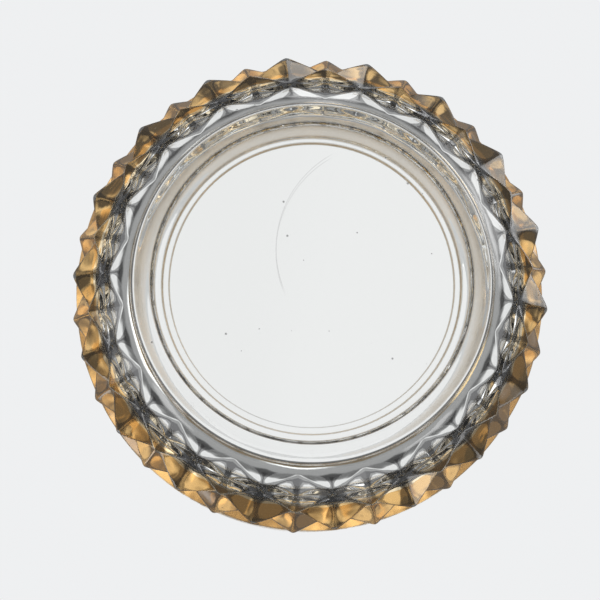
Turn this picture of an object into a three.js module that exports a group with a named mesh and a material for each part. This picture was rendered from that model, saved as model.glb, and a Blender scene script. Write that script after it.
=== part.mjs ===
// A heavy pressed tumbler: clear glass on a low foot ring, with rows of raised diamonds round the
// lower wall, a plain upper wall, and a fired gold band round that wall.
//
// Units are millimetres, +Z is up, and the origin is the centre of the plane that the foot stands on.
import * as THREE from 'three';

// Overall form
const HEIGHT = 92;
const WALL_RADIUS = 45.3;
const WALL_START = 33.8;
const LIP_WALL = 3;

// Foot ring and the shallow recess inside it
const FOOT_RADIUS = 33.2;
const FOOT_ROUND = 0.5;
const FOOT_LAND = 3;
const FOOT_HEIGHT = 4.1;
const FOOT_SPREAD = 0.7;
const RECESS_DEPTH = 1;
const RECESS_SLOPE_RUN = 0.7;

// Bowl inside
const BASE_THICKNESS = 8;
const BOWL_FLOOR_RADIUS = 25.5;
const BOWL_FLOOR_SLOPE = 0.55;
const BOWL_CORNER_HEIGHT = 15;
const BOWL_CORNER_RADIUS = 35.4;

// Diamonds: how many go round, where their lowest points lie, and how the rows rise
const DIAMONDS_ROUND = 18;
const LATTICE_START = 6.3;
const LATTICE_START_RADIUS = 34.6;
const FIRST_ROW_STEP = 5.7;
const ROW_STEP_GROWTH = 1.18;
const GROOVE_DEPTH = 3.1;
const HIP_FULLNESS = 2.6;
const POINT_LEAN = 0.5;
const LOW_ROW_RELIEF = 1.85;
const HIGH_ROW_RELIEF = 3.65;
const TOP_POINT_RELIEF = 0.75;
const TOP_POINT_LEAN = 0.35;

// Gold band
const GOLD_THICKNESS = 0.3;
const GOLD_LOWER_MARGIN = 3.5;
const GOLD_HEIGHT = 40;

// Fineness of the round surfaces
const COLUMNS_PER_DIAMOND = 4;
const CORNER_STEPS = 9;
const LIP_STEPS = 8;
const EDGE_STEPS = 3;

const BOWL_FLOOR_HEIGHT = RECESS_DEPTH + BASE_THICKNESS;
const COLUMNS = DIAMONDS_ROUND * COLUMNS_PER_DIAMOND;
const HALF_COLUMNS = COLUMNS_PER_DIAMOND / 2;

// Heights of the lattice rings: the points where the grooves cross
const SECOND_ROW_STEP = FIRST_ROW_STEP * ROW_STEP_GROWTH;
const THIRD_ROW_STEP = SECOND_ROW_STEP * ROW_STEP_GROWTH;
const RING_HEIGHTS = [
  LATTICE_START,
  LATTICE_START + FIRST_ROW_STEP,
  LATTICE_START + FIRST_ROW_STEP + SECOND_ROW_STEP,
  LATTICE_START + FIRST_ROW_STEP + SECOND_ROW_STEP + THIRD_ROW_STEP,
];

// The grooves' floor swells quickly over the hip and more slowly towards the upright wall.
function grooveRadius(height) {
  const lowest = RING_HEIGHTS[0];
  const highest = RING_HEIGHTS[RING_HEIGHTS.length - 1];
  const left = (highest - height) / (highest - lowest);
  const spread = WALL_RADIUS - GROOVE_DEPTH - LATTICE_START_RADIUS;
  return LATTICE_START_RADIUS + spread * (1 - left ** HIP_FULLNESS);
}

// The whole numbers from nought up to, and without, a count.
function countTo(count) {
  return [...Array(count).keys()];
}

// Collects vertices and triangles, and turns them into one closed geometry.
class Skin {
  constructor() {
    this.positions = [];
    this.indices = [];
  }

  point(radius, column, height) {
    const angle = (column / COLUMNS) * Math.PI * 2;
    this.positions.push(radius * Math.cos(angle), radius * Math.sin(angle), height);
    return this.positions.length / 3 - 1;
  }

  ring(radius, height) {
    return countTo(COLUMNS).map((column) => this.point(radius, column, height));
  }

  face(first, second, third) {
    this.indices.push(first, second, third);
  }

  // Joins two rings; seen from outside the glass, the next ring lies above the one before it.
  strip(before, next) {
    for (let column = 0; column < COLUMNS; column += 1) {
      const beside = (column + 1) % COLUMNS;
      this.face(before[column], before[beside], next[beside]);
      this.face(before[column], next[beside], next[column]);
    }
  }

  strips(rings) {
    for (let index = 1; index < rings.length; index += 1) {
      this.strip(rings[index - 1], rings[index]);
    }
  }

  // Closes the hole inside a ring with a fan round its centre.
  fan(ring, height, facesUp) {
    const centre = this.point(0, 0, height);
    for (let column = 0; column < COLUMNS; column += 1) {
      const beside = (column + 1) % COLUMNS;
      if (facesUp) {
        this.face(centre, ring[column], ring[beside]);
      } else {
        this.face(centre, ring[beside], ring[column]);
      }
    }
  }

  geometry() {
    const shared = new THREE.BufferGeometry();
    shared.setAttribute('position', new THREE.Float32BufferAttribute(this.positions, 3));
    shared.setIndex(this.indices);
    shared.computeVertexNormals();
    return shared;
  }
}

// Points of a quarter of an ellipse round (centreRadius, centreHeight), ends included.
function quarterArc(centreRadius, centreHeight, width, rise, startAngle, steps) {
  return countTo(steps + 1).map((index) => {
    const angle = startAngle + (index / steps) * (Math.PI / 2);
    return [centreRadius + width * Math.cos(angle), centreHeight + rise * Math.sin(angle)];
  });
}

// The underside, from the middle of the recess out to the top of the foot ring.
function footProfile() {
  const landOuter = FOOT_RADIUS - FOOT_ROUND;
  const landInner = landOuter - FOOT_LAND;
  const lowerEdge = quarterArc(landOuter, FOOT_ROUND, FOOT_ROUND, FOOT_ROUND, -Math.PI / 2, EDGE_STEPS);
  return [
    [landInner - RECESS_SLOPE_RUN, RECESS_DEPTH],
    [landInner, 0],
    ...lowerEdge,
    [FOOT_RADIUS + FOOT_SPREAD, FOOT_HEIGHT],
  ];
}

// The rounded lip and the bowl, from the outside of the lip down to the bowl's floor.
function bowlProfile() {
  const lipRadius = LIP_WALL / 2;
  const lipCentre = WALL_RADIUS - lipRadius;
  const lipHeight = HEIGHT - lipRadius;
  const outerLip = quarterArc(lipCentre, lipHeight, lipRadius, lipRadius, 0, LIP_STEPS / 2);
  const innerLip = quarterArc(lipCentre, lipHeight, lipRadius, lipRadius, Math.PI / 2, LIP_STEPS / 2);
  const [mouthRadius, mouthHeight] = innerLip[innerLip.length - 1];
  const taper = (mouthRadius - BOWL_CORNER_RADIUS) / (mouthHeight - BOWL_FLOOR_HEIGHT - BOWL_CORNER_HEIGHT);
  return [...outerLip, ...innerLip.slice(1), ...bowlCorner(taper)];
}

// The curve from the bowl's wall down to its floor. It leaves the wall along the wall's own taper and
// meets the floor's edge at the floor's slope; both lines cross at the knee that it rounds off.
function bowlCorner(taper) {
  const run = BOWL_CORNER_RADIUS - BOWL_FLOOR_RADIUS - taper * BOWL_CORNER_HEIGHT;
  const kneeRun = run / (1 - taper * BOWL_FLOOR_SLOPE);
  const kneeRadius = BOWL_FLOOR_RADIUS + kneeRun;
  const kneeRise = BOWL_FLOOR_SLOPE * kneeRun;
  return countTo(CORNER_STEPS + 1).map((index) => {
    const down = index / CORNER_STEPS;
    const up = 1 - down;
    const radius = up * up * BOWL_CORNER_RADIUS + 2 * up * down * kneeRadius + down * down * BOWL_FLOOR_RADIUS;
    return [radius, BOWL_FLOOR_HEIGHT + up * up * BOWL_CORNER_HEIGHT + 2 * up * down * kneeRise];
  });
}

// One ring of lattice points, one for each diamond round the glass. The points of an odd ring lie half
// a diamond further round than those of the others.
function latticeRing(skin, radius, height, isOdd) {
  const shift = isOdd ? HALF_COLUMNS : 0;
  return countTo(DIAMONDS_ROUND).map((index) => skin.point(radius, index * COLUMNS_PER_DIAMOND + shift, height));
}

// Four facets of one diamond: its point and its four corners.
function diamondFacets(skin, point, bottom, right, top, left) {
  skin.face(bottom, right, point);
  skin.face(right, top, point);
  skin.face(top, left, point);
  skin.face(left, bottom, point);
}

// The relief between the foot ring's top and the plain wall's lower edge.
function latticeSkin(skin, footTop, wallEdge) {
  const [heightA, heightB, heightC, heightD] = RING_HEIGHTS;
  const lowPointHeight = heightB + POINT_LEAN * SECOND_ROW_STEP;
  const highPointHeight = heightC + POINT_LEAN * THIRD_ROW_STEP;
  const topPointHeight = heightD + TOP_POINT_LEAN * (WALL_START - heightD);
  const hipHeight = (FOOT_HEIGHT + heightB) / 2;
  const hip = latticeRing(skin, grooveRadius(hipHeight), hipHeight, true);
  const ringA = latticeRing(skin, grooveRadius(heightA), heightA, false);
  const ringB = latticeRing(skin, grooveRadius(heightB), heightB, true);
  const ringC = latticeRing(skin, grooveRadius(heightC), heightC, false);
  const ringD = latticeRing(skin, grooveRadius(heightD), heightD, true);
  const lowPoints = latticeRing(skin, grooveRadius(lowPointHeight) + LOW_ROW_RELIEF, lowPointHeight, false);
  const highPoints = latticeRing(skin, grooveRadius(highPointHeight) + HIGH_ROW_RELIEF, highPointHeight, true);
  const topPoints = latticeRing(skin, WALL_RADIUS + TOP_POINT_RELIEF, topPointHeight, false);
  for (let here = 0; here < DIAMONDS_ROUND; here += 1) {
    const next = (here + 1) % DIAMONDS_ROUND;
    const last = (here + DIAMONDS_ROUND - 1) % DIAMONDS_ROUND;
    hipFacets(skin, footTop, here, ringA[here], ringA[next], hip[here], ringB[here]);
    diamondFacets(skin, lowPoints[here], ringA[here], ringB[here], ringC[here], ringB[last]);
    diamondFacets(skin, highPoints[here], ringB[here], ringC[next], ringD[here], ringC[here]);
    wallFacets(skin, wallEdge, here, ringC[here], ringD[last], topPoints[here], ringD[here]);
  }
}

// The plain hip between the lowest diamonds, from the foot ring's top up to where two diamonds meet.
function hipFacets(skin, footTop, here, leftPoint, rightPoint, hipPoint, upper) {
  const first = here * COLUMNS_PER_DIAMOND;
  for (let step = 0; step < COLUMNS_PER_DIAMOND; step += 1) {
    const nearer = footTop[first + step];
    const further = footTop[(first + step + 1) % COLUMNS];
    const isOuter = step === 0 || step === COLUMNS_PER_DIAMOND - 1;
    const corner = step < HALF_COLUMNS ? leftPoint : rightPoint;
    skin.face(nearer, further, isOuter ? corner : hipPoint);
  }
  skin.face(leftPoint, footTop[first + 1], hipPoint);
  skin.face(footTop[(first + COLUMNS_PER_DIAMOND - 1) % COLUMNS], rightPoint, hipPoint);
  skin.face(leftPoint, hipPoint, upper);
  skin.face(hipPoint, rightPoint, upper);
}

// The top row: half diamonds whose points run out into the plain wall's lower edge.
function wallFacets(skin, wallEdge, here, bottom, left, point, right) {
  const middle = here * COLUMNS_PER_DIAMOND;
  const edge = (offset) => wallEdge[(middle + offset + COLUMNS) % COLUMNS];
  skin.face(bottom, right, point);
  skin.face(left, bottom, point);
  skin.face(point, right, edge(1));
  skin.face(left, point, edge(-1));
  skin.face(point, edge(1), edge(0));
  skin.face(point, edge(0), edge(-1));
  skin.face(right, edge(2), edge(1));
  skin.face(left, edge(-1), edge(-2));
}

function glassGeometry() {
  const skin = new Skin();
  const foot = footProfile().map(([radius, height]) => skin.ring(radius, height));
  const bowl = bowlProfile().map(([radius, height]) => skin.ring(radius, height));
  const wallEdge = skin.ring(WALL_RADIUS, WALL_START);
  skin.fan(foot[0], RECESS_DEPTH, false);
  skin.strips(foot);
  latticeSkin(skin, foot[foot.length - 1], wallEdge);
  skin.strips([wallEdge, ...bowl]);
  skin.fan(bowl[bowl.length - 1], BOWL_FLOOR_HEIGHT, true);
  return skin.geometry();
}

// The fired gold lies on the plain wall, so its inner face has the wall's own radius and columns.
function goldGeometry() {
  const bottom = WALL_START + GOLD_LOWER_MARGIN;
  const top = bottom + GOLD_HEIGHT;
  const outerRadius = WALL_RADIUS + GOLD_THICKNESS;
  const skin = new Skin();
  const lowerOuter = skin.ring(outerRadius, bottom);
  const upperOuter = skin.ring(outerRadius, top);
  const upperInner = skin.ring(WALL_RADIUS, top);
  const lowerInner = skin.ring(WALL_RADIUS, bottom);
  skin.strips([lowerOuter, upperOuter, upperInner, lowerInner, lowerOuter]);
  return skin.geometry();
}

const clearGlass = new THREE.MeshStandardMaterial({
  color: 0xeef3f2, roughness: 0.03, metalness: 0, transparent: true, opacity: 0.4, side: THREE.DoubleSide,
});
const firedGold = new THREE.MeshStandardMaterial({ color: 0xc49a52, roughness: 0.25, metalness: 1 });

const tumbler = new THREE.Group();

const glassBody = new THREE.Mesh(glassGeometry(), clearGlass);
glassBody.name = 'glass_body';
tumbler.add(glassBody);

const goldBand = new THREE.Mesh(goldGeometry(), firedGold);
goldBand.name = 'gold_band';
tumbler.add(goldBand);

export default tumbler;
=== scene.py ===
"""Looks for a double old fashioned glass: pressed clear glass with raised diamonds and a fired gold band.

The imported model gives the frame, the sizes and the place of each piece. This script dresses it with a finely
modelled glass and gold film, and adds a pale floor, soft light and the photograph's camera, which looks up at
the underside of the glass. Meshes are in metres with +Z up, and the sizes of the glass are millimetres.
"""

import logging
import math
from dataclasses import dataclass
from enum import Enum

import bmesh
import bpy
from mathutils import Matrix, Vector


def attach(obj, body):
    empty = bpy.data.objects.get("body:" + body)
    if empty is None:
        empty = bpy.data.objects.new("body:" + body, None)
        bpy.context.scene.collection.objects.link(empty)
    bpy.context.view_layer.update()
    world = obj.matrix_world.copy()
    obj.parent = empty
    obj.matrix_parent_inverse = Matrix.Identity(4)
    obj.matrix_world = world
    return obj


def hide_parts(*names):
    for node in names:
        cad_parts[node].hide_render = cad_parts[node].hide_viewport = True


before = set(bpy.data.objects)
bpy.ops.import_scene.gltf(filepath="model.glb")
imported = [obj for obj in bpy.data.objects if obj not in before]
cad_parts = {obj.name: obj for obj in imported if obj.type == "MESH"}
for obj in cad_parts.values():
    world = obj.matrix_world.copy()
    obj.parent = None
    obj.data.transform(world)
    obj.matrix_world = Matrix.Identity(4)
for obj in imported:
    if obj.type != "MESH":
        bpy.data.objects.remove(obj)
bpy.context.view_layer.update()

LOG = logging.getLogger("tumbler")
Socket = bpy.types.NodeSocket
Outline = list[tuple[float, float]]

MM = 0.001
PICTURE_WIDTH = 600

# Corners whose heights differ by less than this, in millimetres, lie on the same ring.
SAME_HEIGHT = 0.02

# The radius of the plain wall and the height of the gold film's two edges, in millimetres.
WALL_RADIUS = 45.3
GOLD_BOTTOM = 37.3
GOLD_TOP = 77.3

# The node group of scratches, which both finishes use, and the ways that they run: each one's turn in
# degrees, and roughly how many clouds of its noise lie on a millimetre across and along the scratches.
SCRATCHES = "fine_scratches"
SCRATCH_WAYS = ((24.0, 5.0, 0.22), (-52.0, 6.0, 0.3))


def deselect_all() -> None:
    if bpy.context.object and bpy.context.object.mode != "OBJECT":
        bpy.ops.object.mode_set(mode="OBJECT")
    bpy.ops.object.select_all(action="DESELECT")


def edit(piece: bpy.types.Object) -> bmesh.types.BMesh:
    """Opens a piece in edit mode.

    Args:
        piece: The mesh object to edit.

    Returns:
        The edit mesh, in which elements are selected by code.
    """
    bpy.context.view_layer.objects.active = piece
    bpy.ops.object.mode_set(mode="EDIT")
    return bmesh.from_edit_mesh(piece.data)


def apply_modifiers(piece: bpy.types.Object) -> None:
    """Applies every modifier of a piece, in their order.

    Args:
        piece: The mesh object.
    """
    bpy.context.view_layer.objects.active = piece
    for modifier in list(piece.modifiers):
        bpy.ops.object.modifier_apply(modifier=modifier.name)


@dataclass
class RevolvedCage:
    """A coarse cage of rings round the Z axis, drawn upward one extrusion at a time.

    Attributes:
        columns: How many corners each ring has.
        piece: The mesh object being built, in edit mode while rings are drawn.
        radius: The smooth radius of the last ring, in metres.
        height: The height of the last ring, in metres.
    """

    columns: int
    piece: bpy.types.Object | None = None
    radius: float = 0.0
    height: float = 0.0

    @property
    def swell(self) -> float:
        """How far the cage stands outside the smooth round surface that subdivision makes of it."""
        return 3.0 / (2.0 + math.cos(2.0 * math.pi / self.columns))

    @property
    def pitch(self) -> float:
        """The angle between two corners of a ring."""
        return 2 * math.pi / self.columns

    def start(self, name: str, radius: float, height: float) -> None:
        """Adds the first ring.

        Args:
            name: The piece's name.
            radius: The ring's smooth radius, in metres.
            height: The ring's height, in metres.
        """
        deselect_all()
        cage_radius = radius * self.swell
        bpy.ops.mesh.primitive_circle_add(vertices=self.columns, radius=cage_radius, location=(0, 0, 0))
        self.piece = bpy.context.object
        self.piece.name = name
        edit(self.piece)
        bpy.ops.mesh.select_all(action="SELECT")
        bpy.ops.transform.rotate(value=-math.pi / 2, orient_axis="Z", center_override=(0, 0, 0))
        bpy.ops.transform.translate(value=(0, 0, height))
        self.radius, self.height = radius, height

    def ring(self, radius: float, height: float) -> None:
        """Extrudes the selected ring to a new radius and height.

        Args:
            radius: The new ring's smooth radius, in metres.
            height: The new ring's height, in metres.
        """
        bpy.ops.mesh.extrude_edges_move(TRANSFORM_OT_translate={"value": (0, 0, height - self.height)})
        scale = radius / self.radius
        bpy.ops.transform.resize(value=(scale, scale, 1), center_override=(0, 0, height))
        self.radius, self.height = radius, height

    def rings(self, outline: Outline) -> None:
        """Extrudes one ring after another.

        Args:
            outline: Each ring's smooth radius and height, in millimetres.
        """
        for radius, height in outline:
            self.ring(radius * MM, height * MM)

    def zigzag_ring(self, first: tuple, second: tuple) -> None:
        """Extrudes a ring whose alternate corners lie at two radii and heights, with no swell.

        Args:
            first: Radius and height of the corners on the even columns, in millimetres.
            second: Radius and height of the corners between them.
        """
        self.ring(self.radius, self.height + MM)
        mesh = bmesh.from_edit_mesh(self.piece.data)
        for corner in [v for v in mesh.verts if v.select]:
            column = round(math.atan2(corner.co.y, corner.co.x) / self.pitch)
            radius, height = (first, second)[column % 2]
            outward = Vector((corner.co.x, corner.co.y, 0)).normalized()
            corner.co = outward * (radius * MM) + Vector((0, 0, height * MM))
        bmesh.update_edit_mesh(self.piece.data)
        self.radius = (first[0] + second[0]) / 2 * MM
        self.height = (first[1] + second[1]) / 2 * MM


class Crease(Enum):
    """The kinds of edge between facets, with their share of the full rounding."""

    GROOVE = 1.0
    RIDGE = 0.4


@dataclass
class PressedGlass:
    """The clear glass: foot ring, diamond rows, plain wall, lip and bowl. Sizes are millimetres.

    Attributes:
        columns: Twice the number of diamonds in a row.
        height: From the foot to the lip.
        wall_start: Where the plain wall starts, over the diamonds.
        land_inner: The inner radius of the ring that the glass stands on.
        foot_radius: The outer radius of that ring.
        shaded_foot_edges: Height of the rings at the foot's inner and outer edge, which get painted dark lines
            of shade.
        recess_depth: How far the middle of the underside lies over the foot.
        floor_height: Height of the bowl's floor.
        lattice: Radius and height of the groove crossings, from the lowest up.
        hip: Radius and height of the corners between the lowest crossings.
        points: Radius and height of the diamonds' points, from the lowest row up.
        bowl_wall: Radius and height of the rings down the bowl's wall.
        bowl_corner: The same round its corner, down to the edge of the floor.
        steps: Radius of the rings of two low steps round the floor, and how far over it they lie.
        flat_radii: Radius of the rings on the floor itself.
        middle_inset: How far inside the last ring the closing faces meet.
        crease_round: The width of the bevel on a groove.
        facet_margin: The width of the inset that holds a facet flat.
        low_shade_mark: How strongly the lowest grooves are marked for painted shade, where the others have 1.
        unevenness: How uneven the pressed surface is.
        unevenness_size: The size of its waves.
        piece: The mesh object.
    """

    columns: int = 36
    height: float = 92.0
    wall_start: float = 33.8
    land_inner: float = 29.5
    foot_radius: float = 33.2
    # The foot's edges get painted dark lines of shade.
    shaded_foot_edges: tuple = (0.04, 0.08, 0.2, 0.5)
    recess_depth: float = 1.0
    floor_height: float = 9.0
    lattice: tuple = ((34.6, 6.3), (38.96, 12.0), (41.55, 18.73), (42.2, 26.66))
    hip: tuple = (36.2, 8.05)
    points: tuple = ((42.4, 15.36), (45.75, 22.7), (46.05, 29.16))
    bowl_wall: tuple = ((41.3, 76.0), (39.6, 58.0), (38.5, 42.0), (38.1, 33.0), (38.0, 27.0), (37.9, 22.5))
    bowl_corner: tuple = ((37.7, 19.0), (37.2, 16.1), (36.3, 13.6), (35.0, 11.8), (33.1, 10.7), (31.2, 10.0))
    steps: tuple = (
        (29.5, 0.75), (28.1, 0.55), (27.8, 0.48), (27.55, 0.3), (27.3, 0.25), (26.75, 0.22), (26.5, 0.18),
        (26.25, 0.02),
    )
    flat_radii: tuple = (26.0, 24.0, 14.0)
    middle_inset: float = 6.0
    crease_round: float = 0.3
    facet_margin: float = 0.55
    # The lowest grooves get darker painted shade.
    low_shade_mark: float = 1.4
    unevenness: float = 0.12
    unevenness_size: float = 7.0
    piece: bpy.types.Object | None = None

    def underside(self) -> Outline:
        """Radius and height of the rings from the recess out to the top of the foot ring."""
        inner, outer, deep = self.land_inner, self.foot_radius, self.recess_depth
        return [
            (16.0, deep), (26.0, deep), (inner - 0.55, deep), (inner - 0.35, deep - 0.1), (inner, 0.2),
            (inner + 0.12, 0.04), (inner + 0.35, 0.0), (31.6, 0.0), (outer - 0.7, 0.0),
            (outer - 0.25, 0.08), (outer, 0.5), (outer + 0.2, 2.2), (outer + 0.7, 4.1),
        ]

    def wall_and_lip(self) -> Outline:
        """Radius and height of the rings from the plain wall's lower edge over the rounded lip."""
        wall, start, top = WALL_RADIUS, self.wall_start, self.height
        return [
            (wall, start + 0.5), (wall, start + 2.5), (wall, 60.0), (wall, 78.0), (wall, top - 3.5),
            (wall, top - 1.4), (wall - 0.55, top - 0.1), (wall - 1.5, top + 0.12), (wall - 2.45, top - 0.1),
            (wall - 3.0, top - 1.4), (wall - 3.2, top - 3.5),
        ]

    def bowl(self) -> Outline:
        """Gives the rings from the top of the bowl's wall in to the middle of its floor.

        Returns:
            Each ring's radius and height.
        """
        steps = [(radius, self.floor_height + rise) for radius, rise in self.steps]
        flat = [(radius, self.floor_height) for radius in self.flat_radii]
        return [*self.bowl_wall, *self.bowl_corner, *steps, *flat]

    def build(self) -> bpy.types.Object:
        """Models the glass from one circle, ring by ring.

        Returns:
            The finished mesh object.
        """
        cage = RevolvedCage(self.columns)
        (radius, height), *outward = self.underside()
        cage.start("pressed_glass", radius * MM, height * MM)
        cage.rings(outward)
        self.lattice_rows(cage)
        cage.rings(self.wall_and_lip() + self.bowl())
        self.piece = cage.piece
        self.close_ends()
        self.cut_facets()
        self.soften()
        return self.piece

    def lattice_rows(self, cage: RevolvedCage) -> None:
        """Draws the diamond rows as rings whose corners go in and out, then splits them along the grooves.

        Args:
            cage: The cage, with the foot ring's top selected.
        """
        (low, mid, high, top), (low_tip, high_tip, top_tip) = self.lattice, self.points
        edge = (WALL_RADIUS, self.wall_start)
        for even, odd in ((low, self.hip), (low_tip, mid), (high, high_tip), (top_tip, top), (edge, edge)):
            cage.zigzag_ring(even, odd)
        self.split_along(cage, [(low, 0), (mid, 1), (high, 0), (top, 1), (edge, 0)])
        # These corners stand at the true radius, so the next ring has to grow by the swell.
        cage.radius = cage.radius / cage.swell

    def split_along(self, cage: RevolvedCage, crossings: list) -> None:
        """Connects the groove crossings over the faces between them, and selects the last ring again.

        Args:
            cage: The cage, with its last ring selected.
            crossings: The place of each ring of crossings, and whether it is on even or odd columns.
        """
        mesh = bmesh.from_edit_mesh(cage.piece.data)
        kept = [v for v in mesh.verts if v.select]
        for vertex in mesh.verts:
            column = round(math.atan2(vertex.co.y, vertex.co.x) / cage.pitch) % 2
            height = vertex.co.z / MM
            matches = (column == side and abs(height - at[1]) < SAME_HEIGHT for at, side in crossings)
            vertex.select = any(matches)
        bpy.ops.mesh.vert_connect()
        bpy.ops.mesh.select_all(action="DESELECT")
        for vertex in kept:
            vertex.select = True
        mesh.select_flush(True)
        bmesh.update_edit_mesh(cage.piece.data)

    def close_ends(self) -> None:
        """Fills the bowl's floor and the middle of the recess."""
        bpy.ops.mesh.edge_face_add()
        bpy.ops.mesh.select_all(action="DESELECT")
        mesh = bmesh.from_edit_mesh(self.piece.data)
        for edge in mesh.edges:
            edge.select = edge.is_boundary
        mesh.select_flush(True)
        bpy.ops.mesh.edge_face_add()
        bpy.ops.mesh.select_all(action="DESELECT")
        for face in mesh.faces:
            face.select = len(face.verts) == self.columns
        bpy.ops.mesh.inset(thickness=self.middle_inset * MM)
        bpy.ops.mesh.poke()
        bpy.ops.mesh.select_all(action="SELECT")
        bpy.ops.mesh.normals_make_consistent(inside=False)

    def cut_facets(self) -> None:
        """Rounds the grooves and, less, the ridges, then holds each facet flat with an inset."""
        self.weigh_creases()
        rounding = self.piece.modifiers.new("rounding", "BEVEL")
        rounding.limit_method = "WEIGHT"
        rounding.width = self.crease_round * MM
        rounding.segments = 1
        apply_modifiers(self.piece)
        self.mark_creases(self.inset_facets())

    def in_cut_zone(self, place: Vector, margin: float) -> bool:
        """Tells whether a place lies at the diamonds' heights and no nearer to the axis than they are.

        Args:
            place: The place.
            margin: How much wider the zone is than the diamonds, in millimetres.

        Returns:
            Whether the place lies in the zone, in which the bowl's lower wall lies too.
        """
        radius, bottom = self.lattice[0]
        level = (bottom - margin) * MM < place.z < (self.wall_start + margin) * MM
        return level and place.xy.length > (radius - margin) * MM

    def weigh_creases(self) -> None:
        """Gives each groove and ridge between facets its bevel weight."""
        mesh = bmesh.from_edit_mesh(self.piece.data)
        corners = {v for v in mesh.verts if self.in_cut_zone(v.co, 0.1)}
        corners -= {v for v in corners if abs(v.co.z / MM - self.hip[1]) < SAME_HEIGHT}
        slight = math.radians(5)
        creases = [e for e in mesh.edges if corners.issuperset(e.verts) and e.calc_face_angle(0) > slight]
        ridges = {edge.index for edge in creases if edge.is_convex}
        grooves = {edge.index for edge in creases} - ridges
        for kind, chosen in ((Crease.GROOVE, grooves), (Crease.RIDGE, ridges)):
            bpy.ops.mesh.select_all(action="DESELECT")
            mesh = bmesh.from_edit_mesh(self.piece.data)
            for edge in mesh.edges:
                edge.select = edge.index in chosen
            bpy.ops.transform.edge_bevelweight(value=kind.value)
        bpy.ops.object.mode_set(mode="OBJECT")

    def inset_facets(self) -> set:
        """Insets the facets and the faces of the bowl's wall beside them, so that their middles stay flat.

        Returns:
            The numbers of the corners that lie inside such a face.
        """
        mesh = edit(self.piece)
        bpy.ops.mesh.select_all(action="DESELECT")
        least_area, least_radius = 6 * MM * MM, 35 * MM
        for face in mesh.faces:
            centre = face.calc_center_median()
            outer = self.in_cut_zone(centre, 0.1) and centre.xy.length > least_radius
            face.select = outer and face.calc_area() > least_area
        bpy.ops.mesh.inset(thickness=self.facet_margin * MM, use_individual=True)
        mesh = bmesh.from_edit_mesh(self.piece.data)
        flat = {v.index for face in mesh.faces if face.select for v in face.verts}
        bpy.ops.object.mode_set(mode="OBJECT")
        return flat

    def mark_creases(self, flat: set) -> None:
        """Stores on each corner of the cage how far it lies on a ridge, a groove or an edge of the foot, for
        the painted shade lines of the finish.

        Args:
            flat: The numbers of the corners that lie inside a facet.
        """
        marks = self.piece.data.attributes.new("crease", "FLOAT", "POINT")
        low_row_top = (self.lattice[1][1] + 0.6) * MM
        for vertex in self.piece.data.vertices:
            place = vertex.co
            # Ridges, grooves and the foot's edges are marked for painted dark lines of shade, strongest on the
            # lowest grooves.
            cut = self.in_cut_zone(place, 0.3) and vertex.normal.xy.dot(place.xy) > 0
            rim = any(abs(place.z / MM - edge) < SAME_HEIGHT for edge in self.shaded_foot_edges)
            strength = self.low_shade_mark if cut and place.z < low_row_top else 1.0
            marks.data[vertex.index].value = strength * float(rim or (cut and vertex.index not in flat))

    def walls_group(self) -> str:
        """Groups the facets and walls, which are uneven; the foot and the bowl's floor stay true.

        Returns:
            The group's name.
        """
        group = self.piece.vertex_groups.new(name="walls")
        low, high, least_radius = 7 * MM, (self.wall_start + 2) * MM, 33 * MM
        places = ((v.index, v.co) for v in self.piece.data.vertices)
        walls = [index for index, place in places if low < place.z < high and place.xy.length > least_radius]
        group.add(walls, 1.0, "REPLACE")
        return group.name

    def soften(self) -> None:
        """Subdivides the cage into the smooth round glass, with the slight unevenness of pressed glass."""
        smooth = self.piece.modifiers.new("smooth", "SUBSURF")
        smooth.levels = smooth.render_levels = 2
        clouds = bpy.data.textures.new("pressed_unevenness", "CLOUDS")
        clouds.noise_scale = self.unevenness_size * MM
        uneven = self.piece.modifiers.new("uneven", "DISPLACE")
        uneven.texture = clouds
        uneven.vertex_group = self.walls_group()
        uneven.strength = self.unevenness * MM
        uneven.mid_level = 0.5
        apply_modifiers(self.piece)
        bpy.ops.object.shade_smooth()


@dataclass
class GoldBand:
    """The fired gold film on the plain wall. Sizes are millimetres.

    Attributes:
        columns: How many corners the film has round the wall.
        bite: How far its inner face lies under the glass's surface, so that it shows through the glass.
        proud: How far its outer face stands over that surface.
        piece: The mesh object.
    """

    columns: int = 288
    bite: float = 0.03
    proud: float = 0.05
    piece: bpy.types.Object | None = None

    def build(self) -> bpy.types.Object:
        """Models the film as a thin closed sleeve.

        Returns:
            The finished mesh object.
        """
        inner, outer = (WALL_RADIUS - self.bite) * MM, (WALL_RADIUS + self.proud) * MM
        deselect_all()
        bpy.ops.mesh.primitive_circle_add(vertices=self.columns, radius=inner, location=(0, 0, 0))
        self.piece = bpy.context.object
        self.piece.name = "gold_film"
        edit(self.piece)
        bpy.ops.mesh.select_all(action="SELECT")
        bpy.ops.transform.translate(value=(0, 0, GOLD_BOTTOM * MM))
        rise = (GOLD_TOP - GOLD_BOTTOM) * MM
        for lift, scale in ((0.0, outer / inner), (rise, 1.0), (0.0, inner / outer), (-rise, 1.0)):
            bpy.ops.mesh.extrude_edges_move(TRANSFORM_OT_translate={"value": (0, 0, lift)})
            bpy.ops.transform.resize(value=(scale, scale, 1), center_override=(0, 0, 0))
        bpy.ops.mesh.select_all(action="SELECT")
        bpy.ops.mesh.remove_doubles(threshold=0.005 * MM)
        bpy.ops.mesh.normals_make_consistent(inside=False)
        bpy.ops.object.mode_set(mode="OBJECT")
        bpy.ops.object.shade_smooth_by_angle(angle=math.radians(40))
        return self.piece


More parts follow.
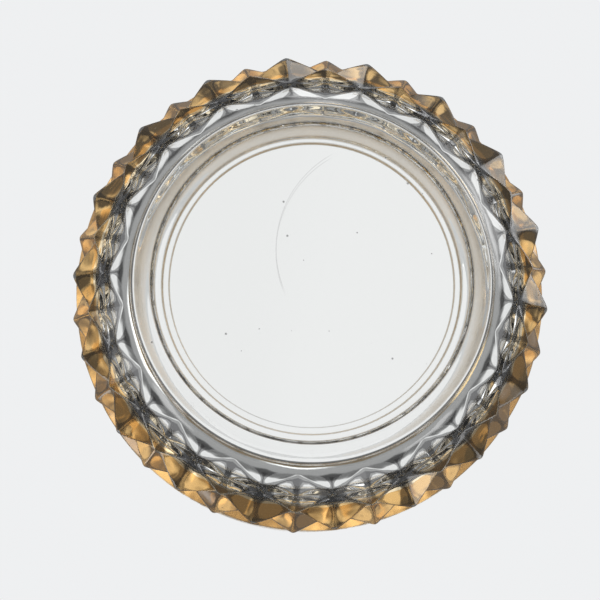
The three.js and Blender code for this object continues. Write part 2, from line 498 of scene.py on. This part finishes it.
@dataclass
class Wiring:
    """Adds and links nodes in one node tree.

    Attributes:
        tree: The tree that is being wired.
    """

    tree: bpy.types.NodeTree

    def feed(self, node: bpy.types.Node, inputs: dict) -> None:
        """Sets or links a node's inputs.

        Args:
            node: The node.
            inputs: Each given input's value, or the output that feeds it, by socket name or number.
        """
        for key, value in inputs.items():
            if isinstance(value, Socket):
                self.tree.links.new(value, node.inputs[key])
            else:
                node.inputs[key].default_value = value

    def node(self, kind: str, inputs: dict | None = None, **settings: object) -> bpy.types.Node:
        """Adds a node.

        Args:
            kind: The node's type name.
            inputs: Each given input's value, or the output that feeds it, by socket name or number.
            **settings: The node's own settings.

        Returns:
            The new node.
        """
        node = self.tree.nodes.new(kind)
        for name, value in settings.items():
            setattr(node, name, value)
        self.feed(node, inputs or {})
        return node

    def math(self, operation: str, first: object, second: object = 0.0) -> Socket:
        """Adds a math node.

        Args:
            operation: What it computes.
            first: Its first value or the output that feeds it.
            second: Its second value or the output that feeds it.

        Returns:
            The node's output.
        """
        return self.node("ShaderNodeMath", {0: first, 1: second}, operation=operation).outputs[0]

    def band(self, value: Socket, low: float, high: float, most: float = 1.0) -> Socket:
        """Turns a value into a smooth step.

        Args:
            value: The output to read.
            low: Where the step starts, at zero.
            high: Where it ends.
            most: The value that it ends at.

        Returns:
            The step's output.
        """
        inputs = {"Value": value, "From Min": low, "From Max": high, "To Max": most}
        return self.node("ShaderNodeMapRange", inputs, interpolation_type="SMOOTHSTEP").outputs[0]

    def spot(self, scale: tuple, turn: float = 0.0) -> Socket:
        """Gives the place on the object, in millimetres times a scale.

        Args:
            scale: The scale along each axis.
            turn: A turn about the Z axis, in degrees.

        Returns:
            The scaled place.
        """
        place = self.node("ShaderNodeTexCoord").outputs["Object"]
        per_metre = tuple(share / MM for share in scale)
        inputs = {"Vector": place, "Rotation": (0, 0, math.radians(turn)), "Scale": per_metre}
        return self.node("ShaderNodeMapping", inputs).outputs[0]

    def height(self) -> Socket:
        """Gives the height on the object, in millimetres."""
        return self.node("ShaderNodeSeparateXYZ", {0: self.spot((1.0, 1.0, 1.0))}).outputs["Z"]

    def noise(self, scale: tuple, detail: float, turn: float = 0.0) -> Socket:
        """Adds cloudy noise.

        Args:
            scale: How many of its clouds lie on a millimetre along each axis, roughly.
            detail: How fine its edges are.
            turn: A turn about the Z axis, in degrees.

        Returns:
            The noise, from 0 to 1.
        """
        inputs = {"Vector": self.spot(scale, turn), "Scale": 1.0, "Detail": detail}
        return self.node("ShaderNodeTexNoise", inputs).outputs[0]

    def mirrored_or_refracted(self) -> Socket:
        """Tells rays that come by way of metal or glass from all others.

        Returns:
            An output that is 1 for those rays.
        """
        path = self.node("ShaderNodeLightPath")
        return self.math("MAXIMUM", path.outputs["Is Glossy Ray"], path.outputs["Is Transmission Ray"])

    def scratches(self, strength: object) -> Socket:
        """Places the shared group of scratches, and builds it on first use.

        Args:
            strength: How strong the scratches are, as a value or the output that feeds it.

        Returns:
            An output that is the strength in a scratch and 0 beside it.
        """
        group = bpy.data.node_groups.get(SCRATCHES) or build_scratches()
        return self.node("ShaderNodeGroup", {"Strength": strength}, node_tree=group).outputs["Scratches"]


def build_scratches() -> bpy.types.NodeTree:
    """Builds the node group of thin scratches that run two ways.

    Returns:
        The group.
    """
    group = bpy.data.node_groups.new(SCRATCHES, "ShaderNodeTree")
    group.interface.new_socket("Strength", in_out="INPUT", socket_type="NodeSocketFloat")
    group.interface.new_socket("Scratches", in_out="OUTPUT", socket_type="NodeSocketFloat")
    wiring = Wiring(group)
    strength = wiring.node("NodeGroupInput").outputs["Strength"]
    lines = []
    for turn, across, along in SCRATCH_WAYS:
        lines.append(wiring.band(wiring.noise((across, along, along), 0.0, turn), 0.74, 0.8))
    scratched = wiring.math("MULTIPLY", wiring.math("MAXIMUM", *lines), strength)
    wiring.node("NodeGroupOutput", {"Scratches": scratched})
    return group


@dataclass(frozen=True)
class ClearGlass:
    """The finish of the pressed glass.

    Attributes:
        tint: The colour of the clean glass.
        dust_and_crease_shade: The dark colour of the painted shade lines on grooves, ridges and the foot's
            edges, and of real dust and the scratch.
        shade: The colour of light that goes through to what the glass shades.
        ior: How strongly the glass bends light.
        line: How strongly the painted shade shows on a ridge or groove.
        line_marks: From and up to which crease mark that painted shade grows.
        core_shade: How strongly painted shade shows in the middle of the lowest grooves.
        core_marks: From and up to which crease mark that painted shade grows.
        speck: How much a speck of dust shows.
        dust_cells: How many cells lie on a millimetre, each with one speck or none.
        dust_free: The share of those cells that have none.
        dust_size: The radius of the largest speck, in cells.
        clean_rough: The roughness of the clean glass.
        speck_rough: How much rougher a speck of dust is.
        rubbed_rough: How much rougher a scratch on the foot is.
        rubbed: The height up to which the underside is scratched, in millimetres.
        hair_middle: The middle of the long scratch's curve, in millimetres.
        hair_bend: The radius of that curve.
        hair_width: How far from the curve the scratch is gone, and how far it is full.
        hair_depth: How strong the scratch is.
        hair_ends: Where it fades in from the right, and from the lower end, in millimetres.
    """

    tint: tuple = (0.97, 0.985, 0.98, 1.0)
    # One dark colour serves both the painted shade lines in the creases and the real dust and scratch.
    dust_and_crease_shade: tuple = (0.02, 0.02, 0.022, 1.0)
    shade: tuple = (0.9, 0.92, 0.92, 1.0)
    ior: float = 1.5
    line: float = 0.85
    line_marks: tuple = (0.76, 1.0)
    core_shade: float = 0.98
    core_marks: tuple = (1.02, 1.3)
    speck: float = 0.75
    dust_cells: float = 0.3
    dust_free: float = 0.4
    dust_size: float = 0.07
    clean_rough: float = 0.012
    speck_rough: float = 0.5
    rubbed_rough: float = 0.22
    rubbed: float = 2.5
    hair_middle: tuple = (13.96, -4.8, 0.0)
    hair_bend: float = 20.0
    hair_width: tuple = (0.12, 0.03)
    hair_depth: float = 0.4
    hair_ends: tuple = ((7.0, 4.0), (2.0, -1.0))

    def make(self) -> bpy.types.Material:
        """Builds the glass material.

        Returns:
            The material, clear to light and to sight.
        """
        material = bpy.data.materials.new("clear_glass")
        material.use_nodes = True
        wiring = Wiring(material.node_tree)
        shader = material.node_tree.nodes["Principled BSDF"]
        specks = wiring.math("MAXIMUM", self.dust(wiring), self.hair_scratch(wiring))
        look = {"Base Color": self.colour(wiring, specks), "Roughness": self.roughness(wiring, specks)}
        wiring.feed(shader, {"IOR": self.ior, "Transmission Weight": 1.0, **look})
        clear = wiring.node("ShaderNodeBsdfTransparent", {"Color": self.shade})
        shadow = wiring.node("ShaderNodeLightPath").outputs["Is Shadow Ray"]
        mix = wiring.node("ShaderNodeMixShader", {0: shadow, 1: shader.outputs[0], 2: clear.outputs[0]})
        wiring.feed(material.node_tree.nodes["Material Output"], {"Surface": mix.outputs[0]})
        return material

    def colour(self, wiring: Wiring, specks: Socket) -> Socket:
        """Wires the glass's colour: clean, with painted shade lines in the creases and real dust and a scratch
        in the specks.

        Args:
            wiring: The material's wiring.
            specks: Where dust and the long scratch are.

        Returns:
            The colour.
        """
        # The crease mark paints dark lines of shade on ridges, grooves and the foot's edges; the specks are
        # real dust and a scratch.
        mark = wiring.node("ShaderNodeAttribute", attribute_name="crease").outputs["Fac"]
        edges = wiring.band(mark, *self.line_marks, self.line)
        crease = wiring.math("MAXIMUM", edges, wiring.band(mark, *self.core_marks, self.core_shade))
        shade_and_dust = wiring.math("MAXIMUM", crease, wiring.math("MULTIPLY", specks, self.speck))
        tones = {"Factor": shade_and_dust, "A": self.tint, "B": self.dust_and_crease_shade}
        return wiring.node("ShaderNodeMix", tones, data_type="RGBA").outputs["Result"]

    def roughness(self, wiring: Wiring, specks: Socket) -> Socket:
        """Wires the glass's roughness, which scratches on the foot and dust raise.

        Args:
            wiring: The material's wiring.
            specks: Where dust and the long scratch are.

        Returns:
            The roughness.
        """
        scratched = wiring.scratches(wiring.band(wiring.height(), self.rubbed, 0.0, self.rubbed_rough))
        worn = wiring.math("ADD", scratched, wiring.math("MULTIPLY", specks, self.speck_rough))
        return wiring.math("ADD", worn, self.clean_rough)

    def dust(self, wiring: Wiring) -> Socket:
        """Wires sparse specks of dust.

        Args:
            wiring: The material's wiring.

        Returns:
            The mask, 1 on a speck.
        """
        place = wiring.spot((self.dust_cells,) * 3)
        cells = wiring.node("ShaderNodeTexVoronoi", {"Vector": place, "Scale": 1.0})
        chance = wiring.node("ShaderNodeSeparateColor", {0: cells.outputs["Color"]}).outputs[0]
        size = wiring.band(chance, self.dust_free, 1.0, self.dust_size)
        return wiring.math("LESS_THAN", cells.outputs["Distance"], size)

    def hair_scratch(self, wiring: Wiring) -> Socket:
        """Wires the one long curved scratch on the underside.

        Args:
            wiring: The material's wiring.

        Returns:
            The mask, which fades out towards both ends of the scratch.
        """
        place = wiring.spot((1.0, 1.0, 0.0))
        both = {0: place, 1: self.hair_middle}
        reach = wiring.node("ShaderNodeVectorMath", both, operation="DISTANCE").outputs["Value"]
        beside = wiring.math("ABSOLUTE", wiring.math("SUBTRACT", reach, self.hair_bend))
        line = wiring.band(beside, *self.hair_width, self.hair_depth)
        split = wiring.node("ShaderNodeSeparateXYZ", {0: place})
        right_end, lower_end = self.hair_ends
        left = wiring.band(split.outputs["X"], *right_end)
        upper = wiring.band(split.outputs["Y"], *lower_end)
        return wiring.math("MULTIPLY", line, wiring.math("MULTIPLY", left, upper))


@dataclass(frozen=True)
class FiredGold:
    """The finish of the gold film.

    Attributes:
        bright: The film's colour where it is thick.
        worn: Its colour where it is thin or rubbed.
        painted_glow_colour: The colour of a painted glow on the film, which stands in for light caught between
            the film and the bowl's wall.
        glow: The even part of that painted glow.
        painted_sparkle: How much brighter that painted glow is in patches, which are painted highlights.
        late: The number of turns of a ray past which it gets that painted glow.
        polish: The roughness of the film where it is smoothest.
        streak_rough: How much rougher a streak is.
        scratch_rough: How much rougher a scratch is.
        bite: The depth of the deepest bites out of the film's edges, in millimetres.
    """

    bright: tuple = (0.83, 0.6, 0.3, 1.0)
    worn: tuple = (0.815, 0.583, 0.288, 1.0)
    painted_glow_colour: tuple = (0.9, 0.78, 0.56, 1.0)
    glow: float = 0.12
    painted_sparkle: float = 0.9
    late: float = 3.5
    polish: float = 0.05
    streak_rough: float = 0.03
    scratch_rough: float = 0.05
    bite: float = 0.35

    def make(self) -> bpy.types.Material:
        """Builds the gold material.

        Returns:
            The material.
        """
        material = bpy.data.materials.new("fired_gold")
        material.use_nodes = True
        wiring = Wiring(material.node_tree)
        streak = self.streaks(wiring)
        tones = {"Factor": streak, "A": self.bright, "B": self.worn}
        colour = wiring.node("ShaderNodeMix", tones, data_type="RGBA").outputs["Result"]
        uneven = wiring.math("MULTIPLY", streak, self.streak_rough)
        rough = wiring.math("ADD", uneven, wiring.scratches(self.scratch_rough))
        wiring.feed(material.node_tree.nodes["Principled BSDF"], {
            "Base Color": colour,
            "Roughness": wiring.math("ADD", rough, self.polish),
            "Metallic": 1.0,
            "Alpha": self.left_over(wiring),
            # The film glows with painted light and painted highlights, for rays past their first turns.
            "Emission Color": self.painted_glow_colour,
            "Emission Strength": self.painted_glow(wiring),
        })
        return material

    def streaks(self, wiring: Wiring) -> Socket:
        """Wires upright streaks, from the brush that laid the gold on.

        Args:
            wiring: The material's wiring.

        Returns:
            The strength, from 0 to 1.
        """
        fine = wiring.noise((0.5, 0.5, 0.04), 1.0)
        broad = wiring.noise((0.13, 0.13, 0.07), 1.0)
        mean = wiring.math("MULTIPLY", wiring.math("ADD", fine, broad), 0.5)
        return wiring.band(mean, 0.38, 0.62)

    def painted_glow(self, wiring: Wiring) -> Socket:
        """Wires a painted glow that stands in for the light that runs to and fro between the film and the
        bowl's wall.

        The renderer follows a ray for a few turns only, so the later ones get this painted glow instead, with
        painted highlights in patches.

        Args:
            wiring: The material's wiring.

        Returns:
            The strength of the painted glow, 0 for rays on their first turns.
        """
        # Noise patches of painted highlights on top of an even painted glow.
        painted_highlights = wiring.band(wiring.noise((0.11, 0.11, 0.05), 2.0), 0.5, 0.68, self.painted_sparkle)
        depth = wiring.node("ShaderNodeLightPath").outputs["Ray Depth"]
        after = wiring.math("GREATER_THAN", depth, self.late)
        return wiring.math("MULTIPLY", wiring.math("ADD", painted_highlights, self.glow), after)

    def left_over(self, wiring: Wiring) -> Socket:
        """Wires where the film is left: all but small bites out of its two edges.

        Args:
            wiring: The material's wiring.

        Returns:
            The film's alpha.
        """
        height = wiring.height()
        over = wiring.math("SUBTRACT", height, GOLD_BOTTOM)
        under = wiring.math("SUBTRACT", GOLD_TOP, height)
        inside = wiring.math("MINIMUM", over, under)
        bites = wiring.band(wiring.noise((0.9, 0.9, 0.9), 3.0), 0.5, 0.75, self.bite)
        return wiring.math("GREATER_THAN", inside, bites)


@dataclass(frozen=True)
class Window:
    """A soft bright patch in the surroundings, which glass and metal show.

    Attributes:
        toward: The direction in which it lies.
        reach: How far from its middle it fades out, in degrees.
        level: How much light it adds at its middle.
    """

    toward: tuple
    reach: float
    level: float

    def glow(self, wiring: Wiring, direction: Socket) -> Socket:
        """Wires the light that the window adds.

        Args:
            wiring: The world's wiring.
            direction: The direction looked in.

        Returns:
            The light, from 0 at its edge to its level in the middle.
        """
        middle = Vector(self.toward).normalized()
        near = wiring.node("ShaderNodeVectorMath", {0: direction, 1: middle}, operation="DOT_PRODUCT")
        full = math.cos(math.radians(self.reach * 0.5))
        return wiring.band(near.outputs["Value"], math.cos(math.radians(self.reach)), full, self.level)


@dataclass(frozen=True)
class Lamp:
    """One square soft lamp, which lights the glass but isn't seen in it.

    Attributes:
        name: The lamp's name.
        place: Where it stands.
        power: Its power in watts.
        size: The length of its side.
        target: What it is aimed at.
    """

    name: str
    place: tuple
    power: float
    size: float = 0.6
    target: tuple = (0.0, 0.0, 0.045)

    def build(self) -> None:
        """Adds the lamp to the scene."""
        data = bpy.data.lights.new(self.name, "AREA")
        data.energy, data.size = self.power, self.size
        lamp = bpy.data.objects.new(self.name, data)
        bpy.context.scene.collection.objects.link(lamp)
        lamp.location = self.place
        lamp.visible_transmission = lamp.visible_glossy = False
        lamp.rotation_euler = (Vector(self.place) - Vector(self.target)).to_track_quat("Z", "Y").to_euler()


@dataclass
class Studio:
    """The pale floor, the soft light and the surroundings.

    Attributes:
        pale: The colour of the background.
        soft: The colour of the light that comes from all round.
        floor_colour: The colour of the floor.
        floor_radius: The floor's radius.
        floor_fade: From where to where the floor fades into the background.
        levels: The upward part of a direction, from -1 to 1, and the light that glass and metal show there.
        windows: The brighter patches among those lights.
        dark_sides: How many sides a mirror shows darker, low down.
        side_contrast: How much darker it shows them.
        side_turn: How far the pattern of those sides is shifted, in radians of its wave.
        lamps: The lamps.
    """

    pale: tuple = (0.86, 0.87, 0.88, 1.0)
    soft: tuple = (0.8, 0.8, 0.8, 1.0)
    floor_colour: tuple = (0.8, 0.8, 0.8, 1.0)
    floor_radius: float = 2.0
    floor_fade: tuple = (0.2, 1.1)
    levels: tuple = (
        (-1.0, 0.84), (-0.7, 0.82), (-0.5, 0.82), (0.05, 0.8), (0.22, 0.3), (0.5, 0.15), (0.66, 0.28),
        (0.88, 0.35), (0.92, 0.15), (0.95, 0.15), (0.963, 0.86),
    )
    windows: tuple = (
        Window((1.0, -0.35, 0.85), 16.0, 1.6),
        Window((0.2, -1.0, 0.7), 11.0, 1.4),
        Window((0.75, 0.9, 0.8), 10.0, 1.6),
        Window((-0.9, 0.5, 0.9), 9.0, 1.4),
        Window((-1.0, 0.1, 0.18), 10.0, 0.9),
        Window((0.7, -0.6, 0.22), 10.0, 0.9),
        Window((0.1, 1.0, 0.15), 10.0, 0.8),
    )
    dark_sides: int = 3
    side_contrast: float = 0.5
    side_turn: float = 0.6
    lamps: tuple = (Lamp("key_light", (0.45, -0.25, 0.95), 4.0), Lamp("fill_light", (-0.5, 0.4, 0.7), 1.4))

    def build(self) -> None:
        """Makes the floor, the surroundings and the lamps."""
        self.floor()
        self.surroundings()
        for lamp in self.lamps:
            lamp.build()

    def floor(self) -> None:
        """Makes the floor, which is seen from above only and fades into the background far out."""
        deselect_all()
        radius = self.floor_radius
        bpy.ops.mesh.primitive_circle_add(vertices=96, radius=radius, fill_type="NGON", location=(0, 0, 0))
        plane = bpy.context.object
        plane.name = "floor"
        material = bpy.data.materials.new("floor")
        material.use_nodes = True
        material.node_tree.nodes.clear()
        wiring = Wiring(material.node_tree)
        paint = wiring.node("ShaderNodeBsdfDiffuse", {"Color": self.floor_colour})
        through = wiring.node("ShaderNodeBsdfTransparent")
        back = wiring.node("ShaderNodeNewGeometry").outputs["Backfacing"]
        place = wiring.node("ShaderNodeTexCoord").outputs["Object"]
        away = wiring.node("ShaderNodeVectorMath", {0: place}, operation="LENGTH").outputs["Value"]
        gone = wiring.math("MAXIMUM", back, wiring.band(away, *self.floor_fade))
        hidden = wiring.math("MAXIMUM", wiring.mirrored_or_refracted(), gone)
        mix = wiring.node("ShaderNodeMixShader", {0: hidden, 1: paint.outputs[0], 2: through.outputs[0]})
        wiring.node("ShaderNodeOutputMaterial", {"Surface": mix.outputs[0]})
        plane.data.materials.append(material)

    def surroundings(self) -> None:
        """Makes the world: plain to the camera, and with darker zones and windows in glass and metal."""
        world = bpy.data.worlds.new("surroundings")
        bpy.context.scene.world = world
        world.use_nodes = True
        world.node_tree.nodes.clear()
        wiring = Wiring(world.node_tree)
        direction = wiring.node("ShaderNodeTexCoord").outputs["Generated"]
        split = wiring.node("ShaderNodeSeparateXYZ", {0: direction})
        light = self.zones(wiring, split.outputs["Z"])
        for window in self.windows:
            light = wiring.math("ADD", light, window.glow(wiring, direction))
        pattern = {"Color": light, "Strength": self.side_dimming(wiring, split)}
        shown = wiring.node("ShaderNodeBackground", pattern).outputs[0]
        plain = wiring.node("ShaderNodeBackground", {"Color": self.pale}).outputs[0]
        soft = wiring.node("ShaderNodeBackground", {"Color": self.soft}).outputs[0]
        seen = wiring.node("ShaderNodeLightPath").outputs["Is Camera Ray"]
        direct = wiring.node("ShaderNodeMixShader", {0: seen, 1: soft, 2: plain}).outputs[0]
        by_way = wiring.mirrored_or_refracted()
        whole = wiring.node("ShaderNodeMixShader", {0: by_way, 1: direct, 2: shown}).outputs[0]
        wiring.node("ShaderNodeOutputWorld", {"Surface": whole})

    def zones(self, wiring: Wiring, upward: Socket) -> Socket:
        """Wires the light that changes from straight down to straight up.

        Args:
            wiring: The world's wiring.
            upward: The upward part of the direction looked in.

        Returns:
            The light.
        """
        along = wiring.node("ShaderNodeMapRange", {"Value": upward, "From Min": -1.0}).outputs[0]
        ramp = wiring.node("ShaderNodeValToRGB", {0: along})
        elements = ramp.color_ramp.elements
        for index, (rise, level) in enumerate(self.levels):
            place = (rise + 1) / 2
            element = elements[index] if index < 2 else elements.new(place)
            element.position = place
            element.color = (level, level, level, 1.0)
        return wiring.node("ShaderNodeRGBToBW", {0: ramp.outputs[0]}).outputs[0]

    def side_dimming(self, wiring: Wiring, split: bpy.types.Node) -> Socket:
        """Wires how bright each side is in a mirror, where some sides are darker, low down.

        Args:
            wiring: The world's wiring.
            split: The node that gives the parts of the direction looked in.

        Returns:
            The brightness, 1 where nothing is darker.
        """
        turn = wiring.math("ARCTAN2", split.outputs["Y"], split.outputs["X"])
        turned = wiring.math("ADD", wiring.math("MULTIPLY", turn, self.dark_sides), self.side_turn)
        wave = wiring.band(wiring.math("SINE", turned), -0.2, 0.9)
        below = wiring.band(split.outputs["Z"], 0.1, -0.05, self.side_contrast)
        mirrored = wiring.node("ShaderNodeLightPath").outputs["Is Reflection Ray"]
        darker = wiring.math("MULTIPLY", wave, wiring.math("MULTIPLY", below, mirrored))
        return wiring.math("SUBTRACT", 1.0, darker)


@dataclass(frozen=True)
class PhotoCamera:
    """The photograph's camera, which looks up at the underside of the glass.

    Attributes:
        focal_pixels: The focal length in pixels of the 600-pixel picture.
        distance: From the lens to the middle of the foot along the view, in millimetres.
        across: How far that middle lies right of the line of view, in millimetres.
        down: How far it lies below that line, in millimetres.
        tilt: The camera's tilt, in degrees.
        pan: Its turn to the side, in degrees.
        roll: Its turn about the line of view, in degrees.
    """

    focal_pixels: float = 3000.0
    distance: float = 548.84
    across: float = 2.24
    down: float = -3.26
    tilt: float = -4.63
    pan: float = -0.69
    roll: float = -5.88

    def build(self) -> None:
        """Makes the camera and gives it to the scene."""
        turn = (
            Matrix.Rotation(math.radians(self.pan), 3, "Y")
            @ Matrix.Rotation(math.radians(self.tilt), 3, "X")
            @ Matrix.Rotation(math.radians(self.roll), 3, "Z")
        )
        back = turn.transposed()
        offset = Vector((self.across, self.down, self.distance)) * MM
        right, down, ahead = back.col[0], back.col[1], back.col[2]
        stand = Matrix((right, -down, -ahead)).transposed()
        data = bpy.data.cameras.new("photo_camera")
        data.sensor_width = 36.0
        data.lens = self.focal_pixels / PICTURE_WIDTH * data.sensor_width
        data.clip_start, data.clip_end = 0.01, 50.0
        camera = bpy.data.objects.new("photo_camera", data)
        camera.matrix_world = Matrix.Translation(-(back @ offset)) @ stand.to_4x4()
        bpy.context.scene.collection.objects.link(camera)
        bpy.context.scene.camera = camera


def main() -> None:
    """Builds and dresses the glass, then the studio."""
    logging.basicConfig(level=logging.INFO, format="%(name)s: %(message)s")
    bpy.context.scene.view_settings.view_transform = "Standard"
    PhotoCamera().build()
    body = PressedGlass().build()
    body.data.materials.append(ClearGlass().make())
    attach(body, "root")
    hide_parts("glass_body")
    gold = GoldBand().build()
    gold.data.materials.append(FiredGold().make())
    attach(gold, "root")
    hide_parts("gold_band")
    for piece in (body, gold):
        LOG.info("%s has %d faces", piece.name, len(piece.data.polygons))
    Studio().build()


if __name__ == "__main__":
    main()
